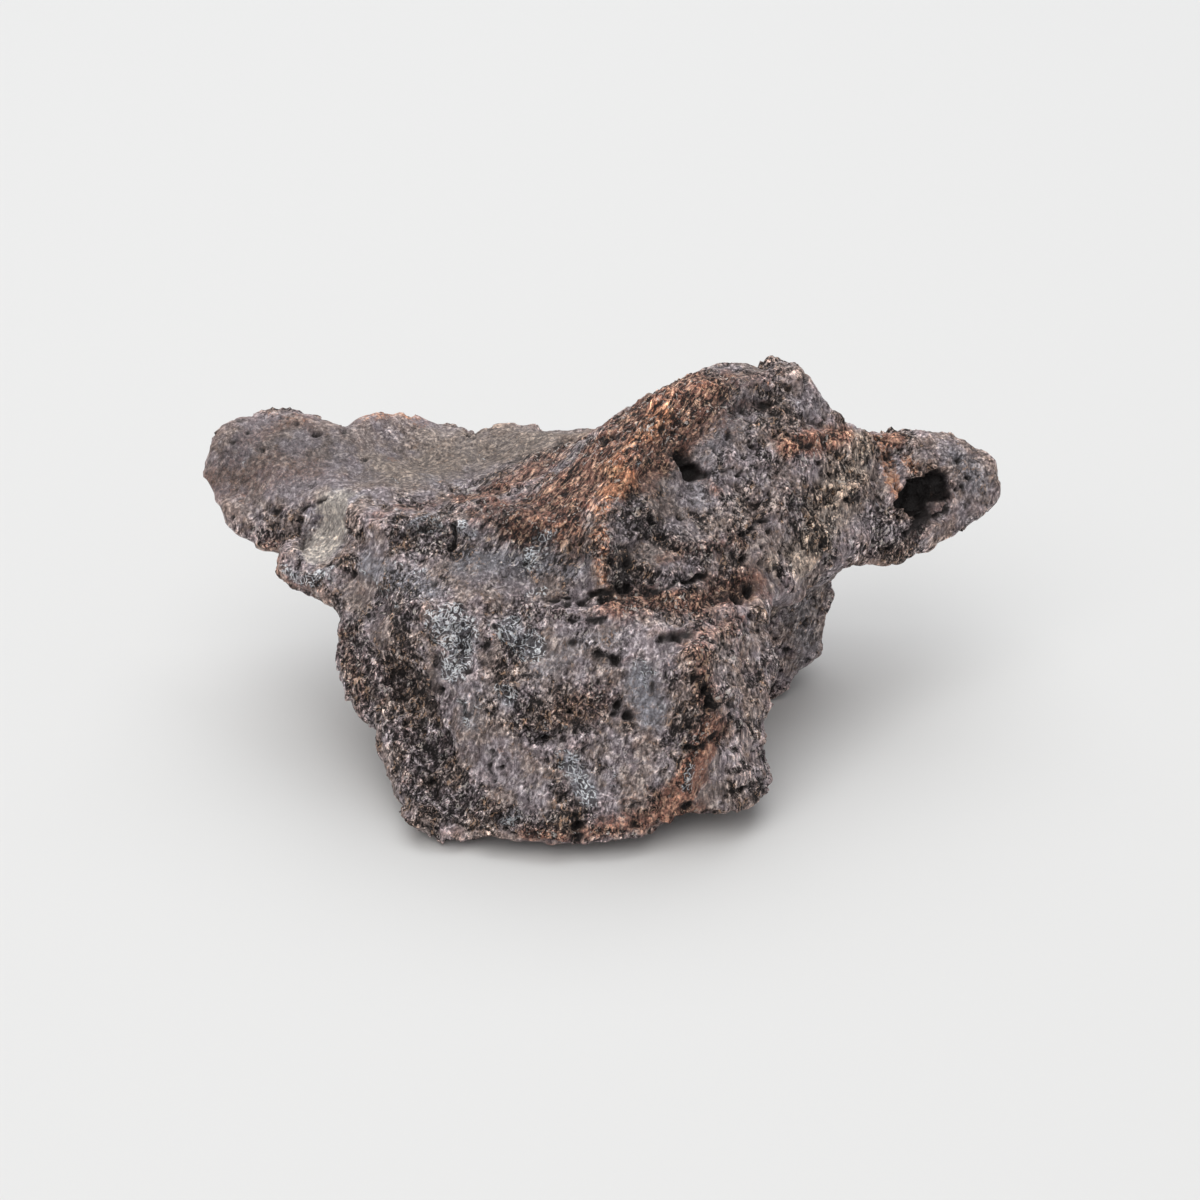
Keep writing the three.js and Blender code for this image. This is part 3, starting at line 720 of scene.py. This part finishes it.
# Patches made lighter and darker, each (path, radius, strength): partly the stone's own tone and partly
# painted light and painted shade on its faces
LIGHTER_TONE_AND_PAINTED_LIGHT = [
    ([(345, 650), (372, 700)], 2.2, 0.4),
    ([(398, 668), (414, 720), (430, 782)], 2.2, 0.3),
    ([(705, 640), (735, 640), (738, 760)], 2.2, 0.5),
    ([(640, 640), (690, 620)], 1.6, 0.5),
    ([(665, 415), (700, 395)], 1.3, 1.0),
    ([(600, 510), (625, 460)], 1.2, 0.5),
    ([(790, 446), (850, 433)], 1.5, 1.0),
    ([(800, 560), (832, 500), (862, 450)], 2.2, 0.4),
]
DARKER_TONE_AND_PAINTED_SHADE = [
    ([(640, 560), (650, 500), (690, 440), (750, 400)], 3.4, 0.9),
    ([(240, 460), (320, 455)], 3.8, 1.0),
    ([(400, 470), (470, 465), (540, 450)], 4.6, 0.7),
    ([(470, 560), (540, 560)], 2.4, 0.9),
    ([(560, 560), (500, 515)], 2.2, 1.0),
    ([(800, 600), (812, 655)], 2.4, 0.5),
    ([(890, 470), (970, 480)], 2.6, 0.5),
]


def clouds(size, seed, low, high, lift=0.0):
    """Shares of 0 to 1 in clouds over the whole stone."""
    return step_up(layered(places, size, 3, seed) + lift, low, high)


# Colours that lie anywhere, mostly where nothing is seen; dust lies on top more than below
on_top = 0.25 * facing[:, 2]
everywhere = {
    "orange": 0.45 * clouds(2.2, 101, 0.35, 0.9),
    "brown": 0.7 * clouds(4.0, 111, 0.1, 0.7),
    "crust": 0.6 * clouds(3.2, 121, 0.2, 0.7),
    "dust": 0.6 * clouds(3.8, 131, 0.3, 0.9, lift=on_top),
    "dark": 0.6 * clouds(2.6, 141, 0.35, 0.9),
    # painted glints, with glossier crust under them, here and there
    "glint": 0.6 * clouds(1.8, 151, 0.5, 0.9),
}
listed = {"orange": ORANGE, "brown": BROWN, "crust": CRUST, "dust": DUST, "dark": DARK_AND_PAINTED_SHADE, "glint": GLINT}
EDGE_SOFTNESS = {"orange": 0.9, "brown": 0.9, "crust": 0.95, "dust": 0.9, "dark": 0.9, "glint": 0.5}
share_of = {
    name: np.maximum(patches(items, EDGE_SOFTNESS[name], 0.5), everywhere[name] * (0.35 + 0.65 * unseen))
    for name, items in listed.items()
}

# Rust and dust gather on the outer edges
RIDGE_TURNS, RIDGE_HEIGHT = 60, 0.35
ridged = -skin.hollowness(RIDGE_TURNS) / RIDGE_HEIGHT
edge_rust = 0.35 * (1 - slope) * step_up(ridged, 0.45, 1.0)
share_of["orange"] = np.maximum(0.8 * share_of["orange"], edge_rust)
share_of["dust"] = np.maximum(share_of["dust"], 0.4 * step_up(ridged, 0.2, 0.9))


# The shown piece

def to_mesh(name):
    mesh = bpy.data.meshes.new(name)
    mesh.vertices.add(len(skin.points))
    mesh.vertices.foreach_set("co", (skin.points * MM).astype(np.float32).ravel())
    mesh.loops.add(skin.quads.size)
    mesh.loops.foreach_set("vertex_index", skin.quads.ravel())
    mesh.polygons.add(len(skin.quads))
    mesh.polygons.foreach_set("loop_start", np.arange(0, skin.quads.size, 4, dtype=np.int32))
    mesh.update(calc_edges=True)
    mesh.validate()
    mesh.shade_smooth()
    return mesh


stone = bpy.data.objects.new("stone", to_mesh("stone"))
bpy.context.scene.collection.objects.link(stone)

# One number for each point and name, read by the material
SMALL_TURNS, SMALL_DEPTH, PIT_DEPTH = 10, 0.14, 0.20
for_material = {
    **share_of,
    "slope": slope,
    "tier": tier,
    "calm": calm,
    "hollow": np.clip(skin.hollowness(SMALL_TURNS) / SMALL_DEPTH, -1, 1),
    "valley": np.clip(-ridged, -1, 1) * (1 - scoop),
    "scoop": scoop,
    # painted light and painted shade, together with the stone's own tone, from the lighter and darker
    # patches
    "shade": 0.5 + 0.5 * (patches(LIGHTER_TONE_AND_PAINTED_LIGHT, soft=0.9) - patches(DARKER_TONE_AND_PAINTED_SHADE, soft=0.9)),
    # how deep the holes are, for the painted shade in pits, cracks and the cavity
    "pit_shade": np.clip(holes / PIT_DEPTH, 0, 1),
    "crumbly": crumbly,
}
for name, values in for_material.items():
    attribute = stone.data.attributes.new(name, "FLOAT", "POINT")
    attribute.data.foreach_set("value", values.astype(np.float32))


class Nodes:
    """Short calls for the material's nodes. An input may be a number, a colour or a node's output."""

    def __init__(self, name):
        self.material = bpy.data.materials.new(name)
        self.material.use_nodes = True
        self.tree = self.material.node_tree
        self.shader = self.tree.nodes["Principled BSDF"]
        self.place = self.tree.nodes.new("ShaderNodeTexCoord").outputs["Object"]

    def feed(self, socket, value):
        if isinstance(value, bpy.types.NodeSocket):
            self.tree.links.new(value, socket)
        else:
            socket.default_value = value

    def math(self, operation, a, b):
        node = self.tree.nodes.new("ShaderNodeMath")
        node.operation = operation
        self.feed(node.inputs[0], a)
        self.feed(node.inputs[1], b)
        return node.outputs[0]

    def plus(self, a, b):
        return self.math("ADD", a, b)

    def minus(self, a, b):
        return self.math("SUBTRACT", a, b)

    def times(self, a, b):
        return self.math("MULTIPLY", a, b)

    def noise(self, size, detail=4.0, roughness=0.6, place=None, distortion=0.0):
        """Noise with lumps of a size in millimetres."""
        node = self.tree.nodes.new("ShaderNodeTexNoise")
        self.feed(node.inputs["Vector"], place or self.place)
        node.inputs["Scale"].default_value = 1 / (size * MM)
        node.inputs["Detail"].default_value = detail
        node.inputs["Roughness"].default_value = roughness
        node.inputs["Distortion"].default_value = distortion
        return node.outputs["Fac"]

    def drawn_out(self, direction, share):
        """Coordinates squeezed along a direction, so that a noise over them is drawn out along it."""
        along = self.tree.nodes.new("ShaderNodeVectorMath")
        along.operation = "DOT_PRODUCT"
        self.feed(along.inputs[0], self.place)
        along.inputs[1].default_value = direction
        scaled = self.tree.nodes.new("ShaderNodeVectorMath")
        scaled.operation = "SCALE"
        scaled.inputs[0].default_value = direction
        self.feed(scaled.inputs["Scale"], self.times(along.outputs["Value"], share - 1))
        total = self.tree.nodes.new("ShaderNodeVectorMath")
        self.feed(total.inputs[0], self.place)
        self.feed(total.inputs[1], scaled.outputs[0])
        return total.outputs[0]

    def pores(self, size, radius, least_chance):
        """Small round spots: 1 inside, for the places whose chance is over least_chance."""
        node = self.tree.nodes.new("ShaderNodeTexVoronoi")
        self.feed(node.inputs["Vector"], self.place)
        node.inputs["Scale"].default_value = 1 / (size * MM)
        inside = self.ramp(node.outputs["Distance"], (radius, 1.0), (radius * 2, 0.0))
        chance = self.tree.nodes.new("ShaderNodeSeparateColor")
        self.feed(chance.inputs[0], node.outputs["Color"])
        return self.times(inside, self.math("GREATER_THAN", chance.outputs[0], least_chance))

    def ramp(self, factor, *stops):
        """Colours or grey levels between stops, each (position, colour or level)."""
        node = self.tree.nodes.new("ShaderNodeValToRGB")
        self.feed(node.inputs[0], factor)
        band = node.color_ramp
        while len(band.elements) < len(stops):
            band.elements.new(0.5)
        for element, (position, colour) in zip(band.elements, stops):
            element.position = position
            element.color = (*colour, 1) if isinstance(colour, tuple) else (colour, colour, colour, 1)
        return node.outputs[0]

    def mix(self, share, a, b, blend="MIX"):
        node = self.tree.nodes.new("ShaderNodeMix")
        node.data_type, node.blend_type = "RGBA", blend
        self.feed(node.inputs[0], share)
        for socket, value in ((node.inputs[6], a), (node.inputs[7], b)):
            self.feed(socket, (*value, 1) if isinstance(value, tuple) else value)
        return node.outputs[2]

    def tinted(self, share, colour, tint):
        """A share of the colour multiplied by a tint."""
        return self.mix(share, colour, self.mix(1.0, colour, tint, "MULTIPLY"))

    def kept(self, name):
        """A number that each of the stone's points keeps."""
        node = self.tree.nodes.new("ShaderNodeAttribute")
        node.attribute_name = name
        return node.outputs["Fac"]

    def swayed(self, name, mottle, reach):
        """A kept number raised and lowered by a noise."""
        return self.plus(self.kept(name), self.times(self.minus(mottle, 0.5), reach))

    def where(self, name, mottle, low, high, reach):
        """A patch's share with its edge broken up by a noise."""
        node = self.tree.nodes.new("ShaderNodeMapRange")
        node.interpolation_type = "SMOOTHSTEP"
        self.feed(node.inputs["Value"], self.swayed(name, mottle, reach))
        node.inputs["From Min"].default_value = low
        node.inputs["From Max"].default_value = high
        return node.outputs[0]


nodes = Nodes("stone")
place_uphill = nodes.drawn_out(UPHILL, 0.34)
place_hanging = nodes.drawn_out((0.0, 0.0, 1.0), 0.25)
place_marks = nodes.drawn_out((0.26, 0.0, 0.966), 0.55)


def grain(size, detail=4.0, roughness=0.68, distortion=0.5):
    """Noise that is drawn out along the slope's flow lines and the tier's streaks."""
    plain = nodes.noise(size, detail, roughness, place_marks, distortion)
    uphill = nodes.noise(size, detail, roughness, place_uphill, distortion)
    hanging_grain = nodes.noise(size, detail, roughness, place_hanging, distortion)
    return nodes.mix(nodes.kept("tier"), nodes.mix(nodes.kept("slope"), plain, uphill), hanging_grain)


# Noises that several colours and the relief share
coarse = nodes.noise(1.5, 4, 0.6)
blotches = nodes.noise(0.8, 4, 0.6, distortion=0.6)
other = nodes.noise(0.30, 4, 0.7, distortion=1.0)
fine = grain(0.115, 2.0, 0.72)
tiny = nodes.noise(0.08, 2, 0.6)

# Crumbled zones with crisp grains, and smooth ones between them where the relief is faint
zones = nodes.noise(1.15, 4, 0.62, distortion=0.9)
crumbling = nodes.plus(zones, nodes.times(nodes.kept("crumbly"), 0.25))
crumbled = nodes.ramp(crumbling, (0.47, 0.0), (0.55, 1.0))
calm_share = nodes.kept("calm")
smooth_share = nodes.math("MAXIMUM", calm_share, nodes.minus(0.75, nodes.times(crumbled, 0.75)))
smooth_share = nodes.times(smooth_share, nodes.minus(1.0, nodes.times(nodes.kept("slope"), 0.6)))
rough_share = nodes.minus(1.0, smooth_share)
rough_relief = grain(0.23)
faint_relief = nodes.ramp(rough_relief, (0.3, 0.485), (0.7, 0.578))
relief = nodes.mix(smooth_share, rough_relief, faint_relief)

# Each kind of stone has four tones, from the bottoms of the grains to their tops
GRAIN_LEVELS = (0.415, 0.462, 0.532, 0.625)
TONES = {
    "plain": ((0.008, 0.005, 0.005), (0.098, 0.073, 0.067), (0.245, 0.197, 0.188), (0.88, 0.74, 0.68)),
    "purple": ((0.012, 0.009, 0.010), (0.135, 0.110, 0.122), (0.270, 0.230, 0.250), (0.88, 0.79, 0.83)),
    "brown": ((0.016, 0.007, 0.005), (0.125, 0.052, 0.038), (0.255, 0.128, 0.094), (0.68, 0.43, 0.30)),
    "crust": ((0.040, 0.037, 0.042), (0.165, 0.157, 0.178), (0.255, 0.250, 0.283), (0.55, 0.56, 0.64)),
    "dust": ((0.020, 0.016, 0.013), (0.155, 0.123, 0.105), (0.275, 0.225, 0.193), (0.88, 0.70, 0.56)),
    "orange": ((0.040, 0.016, 0.010), (0.210, 0.092, 0.052), (0.420, 0.205, 0.120), (0.85, 0.54, 0.35)),
}
tones = {name: nodes.ramp(relief, *zip(GRAIN_LEVELS, four)) for name, four in TONES.items()}

# Tints multiply a colour; the rest replace it
WARM_BLOTCH = (0.45, 0.36, 0.33)
SCOOP_TINT = (1.35, 1.5, 1.63)
VALLEY_PAINTED_SHADE = (0.30, 0.26, 0.25)
EDGE_TINT = (1.6, 1.45, 1.35)
CREST_TINT = (1.8, 1.65, 1.55)
PALE_SPECK_AND_SPARKLE_TINT = (2.5, 2.35, 2.25)
GRAIN_DARK, GRAIN_EVEN, GRAIN_LIGHT = (0.50, 0.485, 0.475), (1.0, 1.0, 1.0), (1.58, 1.54, 1.51)
DARK_TONE_AND_PAINTED_SHADE = (0.020, 0.014, 0.013)
HOLLOW_AND_GAP_SHADE = (0.012, 0.008, 0.007)
PORE = (0.010, 0.007, 0.007)
SPECK = (0.014, 0.009, 0.008)
RUSTY_FLECK, GREY_FLECK = (0.60, 0.39, 0.27), (0.72, 0.65, 0.61)
BESIDE_PAINTED_GLINTS = (0.020, 0.017, 0.020)
DULL_PAINTED_GLINT, BRIGHT_PAINTED_GLINT = (0.50, 0.53, 0.60), (0.96, 0.98, 1.0)
PAINTED_PIT_SHADE = (0.008, 0.005, 0.005)

# The kinds of stone over one another
colour = nodes.mix(nodes.ramp(coarse, (0.44, 0.0), (0.56, 1.0)), tones["plain"], tones["purple"])
colour = nodes.tinted(nodes.ramp(blotches, (0.36, 0.55), (0.48, 0.0)), colour, WARM_BLOTCH)
colour = nodes.mix(nodes.where("brown", fine, 0.25, 0.95, 0.7), colour, tones["brown"])
colour = nodes.mix(nodes.where("dust", fine, 0.25, 1.05, 1.0), colour, tones["dust"])
colour = nodes.tinted(nodes.kept("scoop"), colour, SCOOP_TINT)
colour = nodes.mix(nodes.where("crust", other, 0.30, 1.00, 1.2), colour, tones["crust"])
colour = nodes.mix(nodes.where("orange", other, 0.50, 1.05, 1.8), colour, tones["orange"])
# Dark patches, partly the stone's own dark tone and partly painted shade in holes and under a ledge
colour = nodes.mix(nodes.times(nodes.where("dark", fine, 0.35, 1.0, 1.4), 0.8), colour, DARK_TONE_AND_PAINTED_SHADE)

# Painted shade darkens the valleys and the narrow hollows, and outer edges are lighter, over wide forms and
# over narrow ones
valley = nodes.kept("valley")
hollow = nodes.kept("hollow")
outer = nodes.ramp(nodes.times(valley, -1.0), (0.15, 0.0), (0.9, 0.5))
crest = nodes.ramp(nodes.times(hollow, -1.0), (0.15, 0.0), (0.9, 0.45))
shade = nodes.ramp(nodes.kept("shade"), (0.0, 0.58), (0.5, 1.0), (1.0, 1.42))
colour = nodes.tinted(nodes.ramp(valley, (0.05, 0.0), (0.8, 0.75)), colour, VALLEY_PAINTED_SHADE)
colour = nodes.tinted(outer, colour, EDGE_TINT)
# The shade patches multiply painted light and painted shade into the colour, together with the stone's own
# tone
colour = nodes.mix(1.0, colour, shade, "MULTIPLY")
colour = nodes.mix(nodes.times(nodes.ramp(hollow, (0.20, 0.0), (0.9, 1.0)), 0.8), colour, HOLLOW_AND_GAP_SHADE)
colour = nodes.tinted(crest, colour, CREST_TINT)

# Fine grains, pores, specks, painted shade in the gaps between grains, flecks, and light spots that are
# partly specks of the stone and partly painted sparkles
contrast = nodes.ramp(fine, (0.40, GRAIN_DARK), (0.50, GRAIN_EVEN), (0.60, GRAIN_LIGHT))
colour = nodes.tinted(nodes.minus(1.0, nodes.times(calm_share, 0.8)), colour, contrast)
pores = nodes.times(nodes.pores(0.55, 0.11, 0.5), rough_share)
colour = nodes.mix(nodes.times(pores, 0.95), colour, PORE)
specks = nodes.ramp(fine, (0.405, 1.0), (0.44, 0.0))
specks = nodes.times(specks, nodes.ramp(smooth_share, (0.0, 0.95), (0.75, 0.25)))
colour = nodes.mix(specks, colour, SPECK)
gap_field = nodes.noise(0.44, 3, 0.6, place_marks, 1.4)
gaps = nodes.ramp(gap_field, (0.460, 0.0), (0.476, 1.0), (0.516, 1.0), (0.532, 0.0))
gaps = nodes.times(gaps, nodes.times(crumbled, nodes.ramp(calm_share, (0.1, 0.85), (0.8, 0.10))))
# painted shade in the gaps between grains
colour = nodes.mix(gaps, colour, HOLLOW_AND_GAP_SHADE)
fleck_field = nodes.noise(0.28, 3, 0.7, place_marks, 1.2)
flecks = nodes.times(nodes.ramp(fleck_field, (0.585, 0.0), (0.62, 1.0)), rough_share)
fleck_colour = nodes.mix(nodes.ramp(coarse, (0.47, 0.0), (0.53, 1.0)), RUSTY_FLECK, GREY_FLECK)
colour = nodes.mix(nodes.times(flecks, 0.9), colour, fleck_colour)
# Light spots: partly light specks of the stone, partly painted sparkles
pale_specks_and_sparkles = nodes.ramp(nodes.times(nodes.noise(0.12, 3, 0.7), other), (0.30, 0.0), (0.34, 1.0))
pale_specks_and_sparkles = nodes.times(pale_specks_and_sparkles, nodes.minus(0.9, nodes.times(smooth_share, 0.7)))
colour = nodes.tinted(pale_specks_and_sparkles, colour, PALE_SPECK_AND_SPARKLE_TINT)

# Painted glints: thin bright worms painted into the colour where the crust is glossy, with dark gaps
# painted next to them
worm_field = nodes.noise(0.48, 2, 0.5, distortion=1.8)
worms = nodes.ramp(worm_field, (0.455, 0.0), (0.475, 1.0), (0.52, 1.0), (0.54, 0.0))
beside_painted_glints = nodes.ramp(worm_field, (0.42, 1.0), (0.45, 0.0), (0.545, 0.0), (0.575, 1.0))
painted_glinting = nodes.ramp(nodes.swayed("glint", blotches, 3.2), (0.55, 0.0), (0.85, 1.0))
painted_glints = nodes.times(painted_glinting, worms)
painted_glint_colour = nodes.mix(nodes.ramp(fine, (0.37, 0.0), (0.53, 1.0)), DULL_PAINTED_GLINT, BRIGHT_PAINTED_GLINT)
colour = nodes.mix(nodes.times(nodes.times(painted_glinting, beside_painted_glints), 0.75), colour, BESIDE_PAINTED_GLINTS)
colour = nodes.mix(nodes.times(painted_glints, 0.92), colour, painted_glint_colour)
# Painted shade in the pits, cracks and cavity, darkest where they are deepest
colour = nodes.mix(nodes.times(nodes.kept("pit_shade"), 0.93), colour, PAINTED_PIT_SHADE)
nodes.feed(nodes.shader.inputs["Base Color"], colour)

dull = nodes.ramp(relief, (0.40, 0.85), (0.62, 0.42))
shiny = nodes.ramp(other, (0.35, 0.50), (0.65, 0.25))
glossy = nodes.math("MAXIMUM", nodes.where("crust", other, 0.40, 1.0, 1.2), nodes.kept("glint"))
nodes.feed(nodes.shader.inputs["Roughness"], nodes.mix(glossy, dull, shiny))

BUMP_DEPTH = 0.30
height_map = nodes.plus(relief, nodes.times(fine, 0.6))
height_map = nodes.plus(height_map, nodes.times(tiny, 0.16))
height_map = nodes.minus(height_map, nodes.times(pores, 0.5))
height_map = nodes.minus(height_map, nodes.times(gaps, 0.35))
height_map = nodes.plus(height_map, nodes.times(painted_glints, 0.3))
bump = nodes.tree.nodes.new("ShaderNodeBump")
bump.inputs["Distance"].default_value = BUMP_DEPTH * MM
nodes.feed(bump.inputs["Strength"], nodes.ramp(smooth_share, (0.0, 1.0), (0.75, 0.45)))
nodes.feed(bump.inputs["Height"], height_map)
nodes.feed(nodes.shader.inputs["Normal"], bump.outputs[0])
stone.data.materials.append(nodes.material)

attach(stone, "root")
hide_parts("meteorite")

# Floor, light and camera, from here in metres
FLOOR_REACH = 3
FLOOR_CORNERS = [(-1, -1), (1, -1), (1, 1), (-1, 1)]
FLOOR_COLOUR = (0.74, 0.74, 0.735, 1)
LIT_PLACE = (0, 0, 0.008)
SKYLIGHT_COLOUR = (0.98, 0.985, 1.0, 1)
SKYLIGHT_STRENGTH = 0.36

scene = bpy.context.scene
floor_mesh = bpy.data.meshes.new("floor")
floor_points = [(x * FLOOR_REACH, y * FLOOR_REACH, 0) for x, y in FLOOR_CORNERS]
floor_mesh.from_pydata(floor_points, [], [(0, 1, 2, 3)])
floor = bpy.data.objects.new("floor", floor_mesh)
scene.collection.objects.link(floor)
floor_material = bpy.data.materials.new("floor")
floor_material.use_nodes = True
floor_shader = floor_material.node_tree.nodes["Principled BSDF"]
floor_shader.inputs["Base Color"].default_value = FLOOR_COLOUR
floor_shader.inputs["Roughness"].default_value = 0.9
floor_mesh.materials.append(floor_material)


def area_light(name, place, size, watts, colour):
    data = bpy.data.lights.new(name, "AREA")
    data.size, data.energy, data.color = size, watts, colour
    lamp = bpy.data.objects.new(name, data)
    lamp.location = place
    lamp.rotation_euler = (Vector(LIT_PLACE) - Vector(place)).to_track_quat("-Z", "Y").to_euler()
    scene.collection.objects.link(lamp)


area_light("window", place=(-0.10, -0.22, 0.42), size=0.50, watts=1.15, colour=(1.0, 0.985, 0.96))
area_light("sky", place=(0.0, 0.26, 0.50), size=0.60, watts=2.3, colour=(0.98, 0.99, 1.0))

world = bpy.data.worlds.new("world")
scene.world = world
world.use_nodes = True
background = world.node_tree.nodes["Background"]
background.inputs["Color"].default_value = SKYLIGHT_COLOUR
background.inputs["Strength"].default_value = SKYLIGHT_STRENGTH
scene.view_settings.view_transform = "Standard"

camera_data = bpy.data.cameras.new("camera")
camera_data.sensor_width = SENSOR
camera_data.lens = FOCAL_PIXELS / FRAME_PIXELS * SENSOR
camera_data.clip_start = 0.005
camera = bpy.data.objects.new("camera", camera_data)
camera.location = CAMERA * MM
camera.rotation_euler = (np.pi / 2 - ELEVATION, 0, 0)
scene.collection.objects.link(camera)
scene.camera = camera
